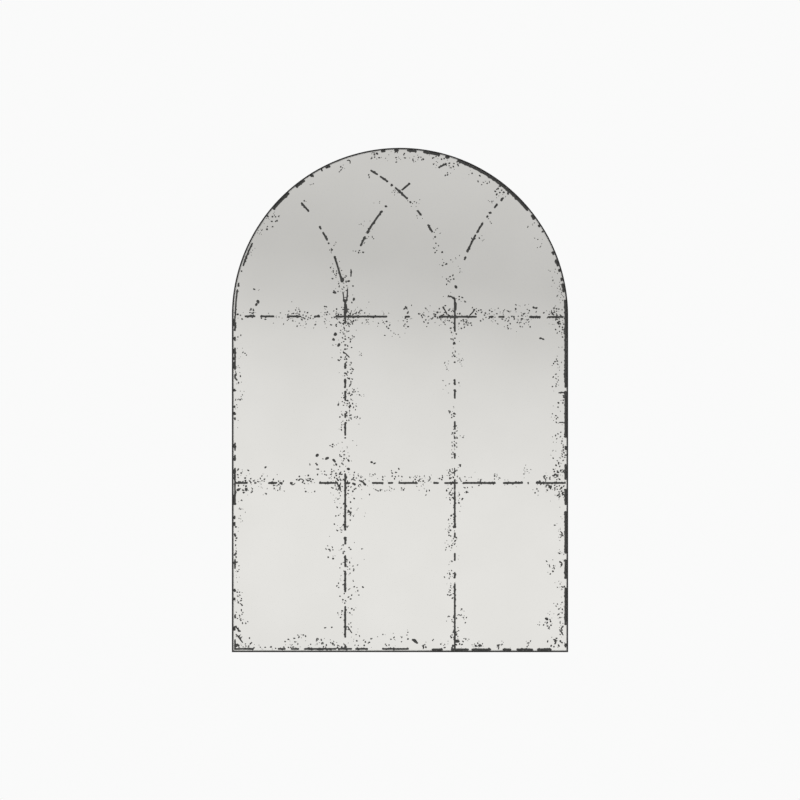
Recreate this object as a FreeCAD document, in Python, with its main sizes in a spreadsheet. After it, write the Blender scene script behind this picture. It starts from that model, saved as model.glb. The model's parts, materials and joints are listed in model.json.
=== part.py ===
import FreeCAD, Part
import math
import os

import Sketcher

# Arched wall mirror: a silvered pane on a backing board, held in a frame of steel angle.
# Millimetres. +Z is up, the glass faces -Y and the wall is the plane y = 0. The origin lies on the wall,
# midway between the two points where the hanging rings bear on their wall hooks.

DIMENSIONS = [
    ("overall_width", 800, "outside width of the frame; the head is a half circle of this width"),
    ("overall_height", 1200, "outside height of the frame"),
    ("hook_rise", 120, "height of the wall hooks above the springing of the head"),
    ("angle_depth", 20, "front-to-back leg of the steel angle"),
    ("angle_flange", 20, "inward leg of the steel angle, at the back"),
    ("angle_thickness", 3, "thickness of both legs"),
    ("angle_root_bevel", 1.5, "width of the slope that fills the corner between the two legs"),
    ("angle_toe_bevel", 1, "bevel of the inner edge of each leg's tip"),
    ("mitre_overrun", 2, "how far a mitre cut runs past the flange"),
    ("glass_thickness", 4, "thickness of the silvered pane"),
    ("glass_arris", 0.6, "ground bevel along the pane's edges"),
    ("seal_width", 1, "width of the seal between the pane's edge and the frame"),
    ("board_thickness", 9, "thickness of the backing board"),
    ("board_clearance", 0.5, "gap between the backing board's edge and the angle's root"),
    ("tape_thickness", 1, "thickness of the foam tape between board and pane"),
    ("tape_width", 25, "width of each strip of tape"),
    ("tape_count", 4, "number of strips, side by side"),
    ("tape_side_distance", 130, "distance of the outer strips from the frame's sides"),
    ("tape_lower_margin", 70, "height of the strips' lower ends above the bottom edge"),
    ("tape_upper_height", 180, "height of the strips' upper ends above the springing"),
    ("screw_edge_distance", 12, "distance of the board screws from the frame's outside"),
    ("leg_screw_count", 2, "screws along each upright"),
    ("leg_screw_margin", 200, "distance of the end screws from the bottom edge and from the springing"),
    ("head_screw_count", 3, "screws round the head"),
    ("head_screw_span", 120, "degrees of the head from the first screw to the last"),
    ("bottom_screw_count", 2, "screws along the bottom"),
    ("bottom_screw_margin", 200, "distance of the end screws from the frame's sides"),
    ("screw_shank", 3.5, "diameter of a screw's shank"),
    ("screw_head", 7, "diameter of a screw's head"),
    ("screw_head_height", 2, "height of a screw's head"),
    ("screw_bite", 6, "length of a screw inside the board"),
    ("screw_clearance", 0.4, "radial play of a screw in a metal hole"),
    ("pilot_clearance", 0.05, "radial play of a screw in the board's pilot hole"),
    ("pilot_allowance", 0.5, "depth of a pilot hole past the screw's end"),
    ("hanger_side_distance", 130, "distance of each hanger from the frame's side"),
    ("strap_width", 16, "width of a hanger's strap"),
    ("strap_thickness", 1.2, "thickness of a hanger's strap"),
    ("strap_length", 54, "length of a strap from its eye's axis to its lower end"),
    ("strap_end_radius", 6, "rounding of a strap's lower corners"),
    ("strap_wrap", 290, "degrees that the strap curls round the ring's bar"),
    ("strap_first_hole", 29, "distance from the eye's axis to the upper screw"),
    ("strap_hole_pitch", 16, "distance between a strap's two screws"),
    ("ring_wire", 3, "diameter of the ring's wire"),
    ("ring_eye_clearance", 0.25, "radial play of the ring's bar in the strap's eye"),
    ("ring_side_clearance", 1, "play of the strap along the ring's bar, each side"),
    ("ring_corner", 4.5, "width and height of the ring's slanted corners, at the middle of the wire"),
    ("ring_leg", 6, "distance from the ring's bar to the centre of its round end"),
    ("ring_flats", 7, "number of straight lengths that make the ring's round end"),
    ("ring_split", 0.4, "gap where the ends of the ring's wire meet"),
    ("bumper_width", 12, "width of a square wall bumper where it sticks to the frame"),
    ("bumper_face", 10, "width of a wall bumper where it meets the wall"),
    ("bumper_height", 3.5, "height of a wall bumper, which sets the frame off the wall"),
    ("bumper_lower_margin", 45, "height of the lower bumpers above the bottom edge"),
    ("bumper_upper_margin", 55, "distance of the upper bumpers below the springing"),
]

doc = FreeCAD.newDocument("ArchedWallMirror")
sheet = doc.addObject("Spreadsheet::Sheet", "Sizes")
subparts = []


class Size:
    """A length that carries its value and the sheet expression that it follows."""

    def __init__(self, value, text):
        self.value = value
        self.text = text

    def __add__(self, other):
        return Size(self.value + other.value, f"({self.text} + {other.text})")

    def __sub__(self, other):
        return Size(self.value - other.value, f"({self.text} - {other.text})")

    def __neg__(self):
        return Size(-self.value, f"(0 - {self.text})")

    def __mul__(self, factor):
        return Size(self.value * factor, f"({self.text} * {factor})")

    def __truediv__(self, divisor):
        return Size(self.value / divisor, f"({self.text} / {divisor})")


def fill_sheet():
    """Write the driving dimensions to the sheet and return them by alias."""
    sizes = {}
    for row, (alias, value, note) in enumerate(DIMENSIONS, start=1):
        sheet.set(f"A{row}", note)
        sheet.set(f"B{row}", str(value))
        sheet.setAlias(f"B{row}", alias)
        sizes[alias] = Size(value, f"Sizes.{alias}")
    doc.recompute()
    return sizes


size = fill_sheet()
ZERO = Size(0, "0")

# Front view: half widths and heights
half_width = size["overall_width"] / 2
spring_z = -size["hook_rise"]
bottom_z = spring_z - (size["overall_height"] - half_width)
leg_length = spring_z - bottom_z
pane_inset = size["angle_thickness"] + size["seal_width"]
board_inset = size["angle_thickness"] + size["angle_root_bevel"] + size["board_clearance"]

# Side view: the layers from the wall to the front
rear_y = -size["bumper_height"]
board_rear_y = rear_y - size["angle_thickness"]
board_front_y = board_rear_y - size["board_thickness"]
pane_rear_y = board_front_y - size["tape_thickness"]

# Hangers: the ring's bar turns in the strap's eye, and the raised ring bears on its hook at z = 0
eye_radius = size["ring_wire"] / 2 + size["ring_eye_clearance"]
eye_outer_radius = eye_radius + size["strap_thickness"]
ring_half_width = size["strap_width"] / 2 + size["ring_side_clearance"] + size["ring_corner"]
hanger_x = half_width - size["hanger_side_distance"]
eye_y = board_rear_y + eye_outer_radius
eye_z = size["ring_wire"] / 2 - size["ring_leg"] - ring_half_width
strap_rear_y = board_rear_y + size["strap_thickness"]
strap_holes_z = [
    eye_z - size["strap_first_hole"],
    eye_z - size["strap_first_hole"] - size["strap_hole_pitch"],
]

# Screws
shank_radius = size["screw_shank"] / 2
metal_hole_radius = shank_radius + size["screw_clearance"]
pilot_radius = shank_radius + size["pilot_clearance"]
pilot_depth = size["screw_bite"] + size["pilot_allowance"]
screw_inset = size["screw_edge_distance"]
screw_x = half_width - screw_inset
leg_screw_z = bottom_z + size["leg_screw_margin"]
leg_screw_run = leg_length - size["leg_screw_margin"] * 2
bottom_screw_run = size["overall_width"] - size["bottom_screw_margin"] * 2
head_screw_start = Size(90, "90") - size["head_screw_span"] / 2

SIDES = {"left": -1, "right": 1}


# Sketches

def new_body(label):
    """Start a sub-part that is built from sketches; several solids may share it."""
    body = doc.addObject("PartDesign::Body", label)
    body.Label = label
    body.AllowCompound = True
    subparts.append(body)
    return body


def origin_feature(body, role):
    return next(feature for feature in body.Origin.OriginFeatures if feature.Role == role)


def new_sketch(body, name, role, **shifts):
    """Sketch on one of the body's origin planes, shifted in the sketch's own x, y or z."""
    sketch = body.newObject("Sketcher::SketchObject", name)
    sketch.AttachmentSupport = [(origin_feature(body, role), "")]
    sketch.MapMode = "FlatFace"
    for axis, shift in shifts.items():
        sketch.setExpression(f"AttachmentOffset.Base.{axis}", shift.text)
    return sketch


def front_sketch(body, name, level, **shifts):
    """Sketch in the front view at y = level: sketch x is X and sketch y is Z."""
    return new_sketch(body, name, "XZ_Plane", z=-level, **shifts)


def hold(sketch, kind, geometry, point, length):
    """Hold one coordinate of a point at a length from the sketch's origin."""
    index = sketch.addConstraint(Sketcher.Constraint(kind, -1, 1, geometry, point, length.value))
    name = f"{kind}_{geometry}_{point}"
    sketch.renameConstraint(index, name)
    sketch.setExpression(f"Constraints.{name}", length.text)


def hold_point(sketch, geometry, point, place):
    hold(sketch, "DistanceX", geometry, point, place[0])
    hold(sketch, "DistanceY", geometry, point, place[1])


def vector(place):
    return FreeCAD.Vector(place[0].value, place[1].value, 0)


def line_to(x, y):
    return (x, y), None, 0


def arc_to(x, y, centre, turn):
    """Round side; turn is 1 anticlockwise or -1 clockwise."""
    return (x, y), centre, turn


def arc_curve(centre, first, last):
    """Circular arc that runs anticlockwise from first to last."""
    spokes = [vector(place) - vector(centre) for place in (first, last)]
    start, end = [math.atan2(spoke.y, spoke.x) for spoke in spokes]
    circle = Part.Circle(vector(centre), FreeCAD.Vector(0, 0, 1), spokes[0].Length)
    return Part.ArcOfCircle(circle, start, end if end > start else end + 2 * math.pi)


def trace(sketch, start, sides, closed=True):
    """Draw sides one after the other from start; a closed run has to end where it starts."""
    here = start
    ends = []
    for end, centre, turn in sides:
        if centre is None:
            curve = Part.LineSegment(vector(here), vector(end))
        elif turn > 0:
            curve = arc_curve(centre, here, end)
        else:
            curve = arc_curve(centre, end, here)
        near, far = (2, 1) if turn < 0 else (1, 2)
        index = sketch.addGeometry(curve, False)
        hold_point(sketch, index, near, here)
        if centre is not None:
            chord = vector(end) - vector(here)
            across = "DistanceY" if abs(chord.x) >= abs(chord.y) else "DistanceX"
            hold(sketch, across, index, 3, centre[1] if across == "DistanceY" else centre[0])
        ends.append((index, near, far))
        here = end
    followers = ends[1:] + ends[:1] if closed else ends[1:]
    for (index, _, far), (following, near, _) in zip(ends, followers):
        sketch.addConstraint(Sketcher.Constraint("Coincident", index, far, following, near))
    if not closed:
        hold_point(sketch, ends[-1][0], ends[-1][2], here)


def draw_arch(sketch, inset):
    """Outline of the mirror's front view, drawn in by inset on every side."""
    half = half_width - inset
    bottom = bottom_z + inset
    trace(sketch, (-half, bottom), [
        line_to(half, bottom),
        line_to(half, spring_z),
        arc_to(-half, spring_z, (ZERO, spring_z), 1),
        line_to(-half, bottom),
    ])


def draw_circle(sketch, x, y, radius):
    index = sketch.addGeometry(Part.Circle(vector((x, y)), FreeCAD.Vector(0, 0, 1), radius.value), False)
    hold_point(sketch, index, 3, (x, y))
    constraint = sketch.addConstraint(Sketcher.Constraint("Radius", index, radius.value))
    sketch.renameConstraint(constraint, f"radius_{index}")
    sketch.setExpression(f"Constraints.radius_{index}", radius.text)


# Features

def pad(body, name, sketch, length, reverse=False, both_ways=False):
    feature = body.newObject("PartDesign::Pad", name)
    feature.Profile = sketch
    feature.Reversed = reverse
    feature.SideType = "Symmetric" if both_ways else "One side"
    feature.setExpression("Length", length.text)
    doc.recompute()
    return feature


def revolve(body, name, sketch, axis, degrees, reverse=False):
    feature = body.newObject("PartDesign::Revolution", name)
    feature.Profile = sketch
    feature.ReferenceAxis = axis
    feature.Reversed = reverse
    feature.setExpression("Angle", degrees.text)
    doc.recompute()
    return feature


def sweep(body, name, profile, spine, mitred=False):
    """Carry a section along a path, which may turn in mitred corners."""
    feature = body.newObject("PartDesign::AdditivePipe", name)
    feature.Profile = profile
    feature.Spine = spine
    feature.Transition = "Right corner" if mitred else "Transformed"
    doc.recompute()
    return feature


def pocket(body, name, sketch, depth, reverse=False, both_ways=False):
    """Cut a sketch into the body and make sure that it meets the solid."""
    before = body.Shape.Volume
    feature = body.newObject("PartDesign::Pocket", name)
    feature.Profile = sketch
    feature.Reversed = reverse
    feature.SideType = "Symmetric" if both_ways else "One side"
    feature.setExpression("Length", depth.text)
    doc.recompute()
    if body.Shape.Volume >= before:
        raise RuntimeError(f"{name} cuts nothing")
    return feature


def repeat_along(body, name, features, axis, run, count):
    """Repeat features evenly over a straight run."""
    pattern = body.newObject("PartDesign::LinearPattern", name)
    pattern.Originals = features
    pattern.Direction = axis
    pattern.setExpression("Length", run.text)
    pattern.setExpression("Occurrences", count.text)
    body.Tip = pattern
    doc.recompute()


def repeat_round(body, name, features, axis, degrees, count, reverse=False):
    """Repeat features evenly round an axis."""
    pattern = body.newObject("PartDesign::PolarPattern", name)
    pattern.Originals = features
    pattern.Axis = axis
    pattern.Reversed = reverse
    pattern.setExpression("Angle", degrees.text)
    pattern.setExpression("Occurrences", count.text)
    body.Tip = pattern
    doc.recompute()


def edge_names(shape, test):
    return [f"Edge{number}" for number, edge in enumerate(shape.Edges, start=1) if test(edge)]


# Board screws go through the frame's flange and into the board, in the same places in every piece

def head_holes(body, y, radius, depth):
    """Holes round the head, cut forwards from depth y."""
    sketch = front_sketch(body, "head_hole", y, y=spring_z)
    sketch.setExpression("AttachmentOffset.Rotation.Angle", head_screw_start.text)
    draw_circle(sketch, screw_x, ZERO, radius)
    hole = pocket(body, "head_hole_cut", sketch, depth, reverse=True)
    repeat_round(body, "head_holes", [hole], (sketch, ["N_Axis"]), size["head_screw_span"],
                 size["head_screw_count"])


def leg_holes(body, y, radius, depth):
    """Holes along both uprights, cut forwards from depth y."""
    sketch = front_sketch(body, "leg_hole", y)
    for side in SIDES.values():
        draw_circle(sketch, screw_x * side, leg_screw_z, radius)
    hole = pocket(body, "leg_hole_cut", sketch, depth, reverse=True)
    repeat_along(body, "leg_holes", [hole], (sketch, ["V_Axis"]), leg_screw_run, size["leg_screw_count"])


def bottom_holes(body, y, radius, depth):
    """Holes along the bottom, cut forwards from depth y."""
    sketch = front_sketch(body, "bottom_hole", y)
    draw_circle(sketch, bottom_screw_run / -2, bottom_z + screw_inset, radius)
    hole = pocket(body, "bottom_hole_cut", sketch, depth, reverse=True)
    repeat_along(body, "bottom_holes", [hole], (sketch, ["H_Axis"]), bottom_screw_run,
                 size["bottom_screw_count"])


def hanger_holes(body, y, radius, depth):
    """Pilot holes for both hangers' screws, cut forwards from depth y."""
    sketch = front_sketch(body, "hanger_hole", y)
    for side in SIDES.values():
        for hole_z in strap_holes_z:
            draw_circle(sketch, hanger_x * side, hole_z, radius)
    pocket(body, "hanger_holes", sketch, depth, reverse=True)


# Frame of steel angle: one length bent round the head, mitred to a straight one along the bottom

def draw_angle(sketch, place):
    """Section of the angle; place maps inward and frontward distances to the sketch."""
    wall = size["angle_thickness"]
    toe = size["angle_toe_bevel"]
    root = wall + size["angle_root_bevel"]
    flange = size["angle_flange"]
    depth = size["angle_depth"]
    trace(sketch, place(ZERO, ZERO), [
        line_to(*place(flange, ZERO)),
        line_to(*place(flange, wall - toe)),
        line_to(*place(flange - toe, wall)),
        line_to(*place(root, wall)),
        line_to(*place(wall, root)),
        line_to(*place(wall, depth - toe)),
        line_to(*place(wall - toe, depth)),
        line_to(*place(ZERO, depth)),
        line_to(*place(ZERO, ZERO)),
    ])


def cut_mitres(body, keep_upright):
    """Cut both lower corners at 45 degrees, keeping the upright's or the bottom rail's share."""
    sketch = front_sketch(body, "mitre", rear_y)
    reach = size["angle_flange"] + size["mitre_overrun"]
    for side in SIDES.values():
        outer_x = half_width * side
        inner_x = (half_width - reach) * side
        corner = (outer_x, bottom_z)
        waste = (inner_x, bottom_z) if keep_upright else (outer_x, bottom_z + reach)
        trace(sketch, corner, [
            line_to(*waste),
            line_to(inner_x, bottom_z + reach),
            line_to(*corner),
        ])
    pocket(body, "mitre_cuts", sketch, size["angle_depth"] * 2, both_ways=True)


def make_arch_rail():
    body = new_body("frame_arch_rail")
    spine = front_sketch(body, "bend_line", rear_y)
    trace(spine, (-half_width, bottom_z), [
        line_to(-half_width, spring_z),
        arc_to(half_width, spring_z, (ZERO, spring_z), -1),
        line_to(half_width, bottom_z),
    ], closed=False)
    section = new_sketch(body, "angle_section", "XY_Plane", z=bottom_z)
    draw_angle(section, lambda inward, frontward: (inward - half_width, rear_y - frontward))
    sweep(body, "bent_angle", section, spine)
    cut_mitres(body, keep_upright=True)
    leg_holes(body, rear_y, metal_hole_radius, size["angle_thickness"])
    head_holes(body, rear_y, metal_hole_radius, size["angle_thickness"])


def make_bottom_rail():
    body = new_body("frame_bottom_rail")
    section = new_sketch(body, "angle_section", "YZ_Plane")
    draw_angle(section, lambda inward, frontward: (rear_y - frontward, bottom_z + inward))
    pad(body, "straight_angle", section, size["overall_width"], both_ways=True)
    cut_mitres(body, keep_upright=False)
    bottom_holes(body, rear_y, metal_hole_radius, size["angle_thickness"])


# Pane, seal, tape and backing board

def make_pane():
    """Silvered glass with ground edges, front and back."""
    body = new_body("mirror_pane")
    sketch = front_sketch(body, "pane_outline", pane_rear_y)
    draw_arch(sketch, pane_inset)
    glass = pad(body, "pane", sketch, size["glass_thickness"])
    rims = edge_names(glass.Shape, lambda edge: edge.BoundBox.YLength < size["glass_thickness"].value / 2)
    arris = body.newObject("PartDesign::Chamfer", "ground_edges")
    arris.Base = (glass, rims)
    arris.setExpression("Size", size["glass_arris"].text)


def make_seal():
    """Seal between the pane's edge and the frame."""
    body = new_body("edge_seal")
    sketch = front_sketch(body, "seal_outline", pane_rear_y)
    draw_arch(sketch, size["angle_thickness"])
    pad(body, "seal_blank", sketch, size["glass_thickness"])
    inner = front_sketch(body, "seal_opening", pane_rear_y)
    draw_arch(inner, pane_inset)
    pocket(body, "seal_hollow", inner, size["glass_thickness"], reverse=True)


def make_board():
    """Backing board with pilot holes for the frame's screws and the hangers' screws."""
    body = new_body("backing_board")
    sketch = front_sketch(body, "board_outline", board_rear_y)
    draw_arch(sketch, board_inset)
    pad(body, "board", sketch, size["board_thickness"])
    leg_holes(body, board_rear_y, pilot_radius, pilot_depth)
    head_holes(body, board_rear_y, pilot_radius, pilot_depth)
    bottom_holes(body, board_rear_y, pilot_radius, pilot_depth)
    hanger_holes(body, board_rear_y, pilot_radius, pilot_depth)


def make_tape():
    """Upright strips of foam tape that hold the pane to the board."""
    strips = size["tape_count"].value
    outer_x = half_width - size["tape_side_distance"]
    lower_z = bottom_z + size["tape_lower_margin"]
    for number in range(strips):
        strip = doc.addObject("Part::Box", f"tape_strip_{number + 1}")
        strip.Label = strip.Name
        centre_x = outer_x * (2 * number / (strips - 1) - 1)
        strip.setExpression("Length", size["tape_width"].text)
        strip.setExpression("Width", size["tape_thickness"].text)
        strip.setExpression("Height", (spring_z + size["tape_upper_height"] - lower_z).text)
        strip.setExpression("Placement.Base.x", (centre_x - size["tape_width"] / 2).text)
        strip.setExpression("Placement.Base.y", pane_rear_y.text)
        strip.setExpression("Placement.Base.z", lower_z.text)
        subparts.append(strip)


# Screws

def make_screw(label, x, y, z, length):
    """One screw along Y at (x, z) of its body, with the underside of its head at depth y."""
    body = new_body(label)
    head_radius = size["screw_head"] / 2
    head_height = size["screw_head_height"]
    profile = new_sketch(body, "screw_profile", "XY_Plane", x=x, y=y, z=z)
    trace(profile, (ZERO, head_height), [
        line_to(head_radius, head_height),
        line_to(head_radius, ZERO),
        line_to(shank_radius, ZERO),
        line_to(shank_radius, -length),
        line_to(ZERO, -length),
        line_to(ZERO, head_height),
    ])
    screw = revolve(body, "screw", profile, (profile, ["V_Axis"]), Size(360, "360"))
    return body, screw


def make_board_screws():
    length = size["angle_thickness"] + size["screw_bite"]
    body, screw = make_screw("head_screws", screw_x, ZERO, ZERO, length)
    repeat_round(body, "round_head", [screw], (origin_feature(body, "Y_Axis"), [""]),
                 size["head_screw_span"], size["head_screw_count"], reverse=True)
    body.Placement = FreeCAD.Placement(FreeCAD.Vector(), FreeCAD.Rotation(FreeCAD.Vector(0, -1, 0), 1))
    body.setExpression("Placement.Base.y", rear_y.text)
    body.setExpression("Placement.Base.z", spring_z.text)
    body.setExpression("Placement.Rotation.Angle", head_screw_start.text)
    for side, sign in SIDES.items():
        body, screw = make_screw(f"{side}_leg_screws", screw_x * sign, rear_y, leg_screw_z, length)
        repeat_along(body, "up_leg", [screw], (origin_feature(body, "Z_Axis"), [""]), leg_screw_run,
                     size["leg_screw_count"])
    body, screw = make_screw("bottom_screws", bottom_screw_run / -2, rear_y, bottom_z + screw_inset, length)
    repeat_along(body, "along_bottom", [screw], (origin_feature(body, "X_Axis"), [""]), bottom_screw_run,
                 size["bottom_screw_count"])


# Hangers: a strap curled round the bar of a D-shaped ring, screwed to the board

def make_strap(label, x):
    """Strip that runs down the board and curls round the ring's bar at its upper end."""
    body = new_body(label)
    body.setExpression("Placement.Base.x", x.text)
    body.setExpression("Placement.Base.y", eye_y.text)
    body.setExpression("Placement.Base.z", eye_z.text)
    edge = size["strap_width"] / 2
    section = new_sketch(body, "strip_section", "XY_Plane")
    trace(section, (-edge, -eye_outer_radius), [
        line_to(edge, -eye_outer_radius),
        line_to(edge, -eye_radius),
        line_to(-edge, -eye_radius),
        line_to(-edge, -eye_outer_radius),
    ])
    plate = pad(body, "plate", section, size["strap_length"], reverse=True)
    lower_z = -size["strap_length"].value
    corners = edge_names(plate.Shape, lambda edge: edge.BoundBox.XLength < edge.Length / 2
                         and edge.BoundBox.ZLength < edge.Length / 2
                         and abs(edge.CenterOfMass.z - lower_z) < edge.Length / 2)
    ends = body.newObject("PartDesign::Fillet", "round_corners")
    ends.Base = (plate, corners)
    ends.setExpression("Radius", size["strap_end_radius"].text)
    doc.recompute()
    revolve(body, "eye", section, (origin_feature(body, "X_Axis"), [""]), size["strap_wrap"], reverse=True)
    holes = front_sketch(body, "screw_holes", -eye_radius)
    for hole_z in strap_holes_z:
        draw_circle(holes, ZERO, hole_z - eye_z, metal_hole_radius)
    pocket(body, "screw_hole_cuts", holes, size["strap_thickness"], reverse=True)


def make_ring(label, x):
    """Bent wire ring, shown hanging down from its bar."""
    body = new_body(label)
    body.setExpression("Placement.Base.x", x.text)
    body.setExpression("Placement.Base.y", eye_y.text)
    body.setExpression("Placement.Base.z", eye_z.text)
    split = size["ring_split"] / 2
    corner = size["ring_corner"]
    bar_end = ring_half_width - corner
    path = front_sketch(body, "wire_path", ZERO)
    trace(path, (split, ZERO), [
        line_to(bar_end, ZERO),
        line_to(ring_half_width, -corner),
        *round_end_lines(),
        line_to(-ring_half_width, -corner),
        line_to(-bar_end, ZERO),
        line_to(-split, ZERO),
    ], closed=False)
    wire = new_sketch(body, "wire_section", "YZ_Plane", z=split)
    draw_circle(wire, ZERO, ZERO, size["ring_wire"] / 2)
    sweep(body, "bent_wire", wire, path, mitred=True)


def round_end_lines():
    """Straight lengths that touch the half circle of the ring's end; the middle one bears on the hook."""
    turn = math.pi / (size["ring_flats"].value + 1)
    stretch = 1 / math.cos(turn / 2)
    lines = []
    for number in range(size["ring_flats"].value + 1):
        angle = turn * (number + 0.5)
        across = ring_half_width * (stretch * math.cos(angle))
        down = ring_half_width * (stretch * math.sin(angle))
        lines.append(line_to(across, -size["ring_leg"] - down))
    return lines


def make_hangers():
    for side, sign in SIDES.items():
        x = hanger_x * sign
        make_strap(f"hanger_strap_{side}", x)
        make_ring(f"hanger_ring_{side}", x)
        length = size["strap_thickness"] + size["screw_bite"]
        body, screw = make_screw(f"hanger_screws_{side}", x, strap_rear_y, strap_holes_z[1], length)
        repeat_along(body, "up_strap", [screw], (origin_feature(body, "Z_Axis"), [""]),
                     size["strap_hole_pitch"], Size(len(strap_holes_z), str(len(strap_holes_z))))


# Bumpers on the back of the frame

def make_bumper(label, x, z):
    """Square pad that tapers from the frame to the wall."""
    bumper = doc.addObject("Part::Wedge", label)
    bumper.Label = label
    edges = {"": size["bumper_width"] / 2, "2": size["bumper_face"] / 2}
    for level, edge in edges.items():
        for axis in "XZ":
            bumper.setExpression(f"{axis}{level}min", (-edge).text)
            bumper.setExpression(f"{axis}{level}max", edge.text)
    bumper.setExpression("Ymin", ZERO.text)
    bumper.setExpression("Ymax", size["bumper_height"].text)
    bumper.setExpression("Placement.Base.x", x.text)
    bumper.setExpression("Placement.Base.y", rear_y.text)
    bumper.setExpression("Placement.Base.z", z.text)
    subparts.append(bumper)


def make_bumpers():
    heights = {
        "lower": bottom_z + size["bumper_lower_margin"],
        "upper": spring_z - size["bumper_upper_margin"],
    }
    for level, z in heights.items():
        for side, sign in SIDES.items():
            make_bumper(f"bumper_{level}_{side}", (half_width - size["angle_flange"] / 2) * sign, z)


def write_parts():
    """Check every object, then write one file for each sub-part."""
    doc.recompute()
    for thing in doc.Objects:
        if "Invalid" in thing.State or "Error" in thing.State:
            raise RuntimeError(f"{thing.Label} did not build: {thing.State}")
    for subpart in subparts:
        if subpart.Shape.isNull() or not subpart.Shape.isValid():
            raise RuntimeError(f"{subpart.Label} has no valid shape")
    os.makedirs("parts", exist_ok=True)
    for subpart in subparts:
        subpart.Shape.exportStep(f"parts/{subpart.Label}.step")


make_arch_rail()
make_bottom_rail()
make_pane()
make_seal()
make_tape()
make_board()
make_board_screws()
make_hangers()
make_bumpers()
write_parts()
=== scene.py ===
import json
import math
import random

import bmesh
import bpy
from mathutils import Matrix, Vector
from mathutils.geometry import delaunay_2d_cdt


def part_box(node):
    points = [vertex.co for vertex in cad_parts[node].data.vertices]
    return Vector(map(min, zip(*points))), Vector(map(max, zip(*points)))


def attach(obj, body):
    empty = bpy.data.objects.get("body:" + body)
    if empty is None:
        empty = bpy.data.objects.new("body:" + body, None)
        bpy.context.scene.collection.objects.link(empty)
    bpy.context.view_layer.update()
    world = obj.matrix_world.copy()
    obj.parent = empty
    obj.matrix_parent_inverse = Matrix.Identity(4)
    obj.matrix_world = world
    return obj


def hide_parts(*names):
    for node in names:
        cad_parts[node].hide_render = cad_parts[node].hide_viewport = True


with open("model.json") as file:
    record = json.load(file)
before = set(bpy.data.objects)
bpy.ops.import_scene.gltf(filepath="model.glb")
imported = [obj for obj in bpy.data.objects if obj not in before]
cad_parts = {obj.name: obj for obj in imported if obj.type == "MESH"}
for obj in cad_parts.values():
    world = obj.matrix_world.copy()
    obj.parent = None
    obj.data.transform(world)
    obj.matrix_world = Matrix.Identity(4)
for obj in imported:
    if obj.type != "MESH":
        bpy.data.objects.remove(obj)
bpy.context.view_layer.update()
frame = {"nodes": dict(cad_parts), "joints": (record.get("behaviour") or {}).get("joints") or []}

# Main sizes from the frame, in metres
MM = 0.001
rail_low, rail_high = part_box("frame_arch_rail")
pane_low, pane_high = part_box("mirror_pane")
HALF_WIDTH = rail_high.x
BOTTOM = rail_low.z
SPRINGLINE = rail_high.z - HALF_WIDTH
RAIL_FRONT = rail_low.y
RAIL_REAR = rail_high.y
GLASS_FRONT = pane_low.y
MIDDLE = Vector((0, RAIL_FRONT, (BOTTOM + rail_high.z) / 2))

# The worn silvering is laid out in millimetres: x from the mirror's middle, height from the springline.
GLASS_HALF = pane_high.x / MM
GLASS_FOOT = (pane_low.z - SPRINGLINE) / MM
SEAL_WIDTH = (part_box("edge_seal")[1].x - pane_high.x) / MM
FRAME_INSIDE = GLASS_HALF + SEAL_WIDTH

# Places of the worn lines: an inset is the distance of a line's middle from the inside of the frame.
UPRIGHT_X = 130.4
SPRING_CROSS = -1.5
SPRING_SLOPE = -0.0022
LOWER_CROSS = -397.4
TRACERY_RADIUS = 400
LEFT_INSET = 4.3
ARCH_LEFT_INSET = 5.2
FOOT_LEFT_INSET = 4.5

# Widths of the worn lines
CROSS_WIDTH = 5.1
LEFT_UPRIGHT_WIDTH = 5.0
RIGHT_UPRIGHT_WIDTH = 4.6
TRACERY_WIDTH = 4.9
LEFT_EDGE_WIDTH = 4.2
FOOT_LEFT_WIDTH = 4.6
EDGE_WIDTH = 5.8

# Worn dashes: where each starts and ends along its line.
SPRING_DASHES = [
    (-370, -344), (-333, -299), (-269, -235), (-205, -190), (-154, -30), (11, 23), (92, 183), (213, 223),
    (234, 249), (269, 273), (307, 335), (351, 390),
]
LOWER_DASHES = [
    (-392, -362), (-347, -343), (-314, -293), (-288, -279), (-262, -255), (-193, -151), (-133, -118),
    (-67, -39), (-29, -16), (-4, 42), (79, 93), (105, 138), (149, 228), (245, 293), (303, 307), (323, 395),
]
LEFT_UPRIGHT_DASHES = [
    (-795, -783), (-766, -690), (-658, -606), (-598, -569), (-544, -525), (-511, -374), (-292, -288),
    (-285, -252), (-243, -231), (-202, -178), (-172, -149), (-138, -134), (-126, -112), (-81, -77),
    (-71, -67), (-57, -53), (-19, 38),
]
RIGHT_UPRIGHT_DASHES = [
    (-796, -636), (-625, -609), (-583, -564), (-528, -515), (-505, -417), (-414, -388), (-340, -326),
    (-311, -307), (-293, -288), (-281, -277), (-271, -250), (-235, -231), (-197, -174), (-165, -150),
    (-112, -108), (-98, -94), (-68, -64), (-38, 43),
]
LEFT_EDGE_DASHES = [
    (-795, -769), (-720, -710), (-602, -578), (-571, -565), (-526, -517), (-450, -361), (-345, -330),
    (-321, -301), (-248, -241), (-150, -138), (-129, -75), (-60, -49), (-36, -14), (-7, 2),
]
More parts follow.
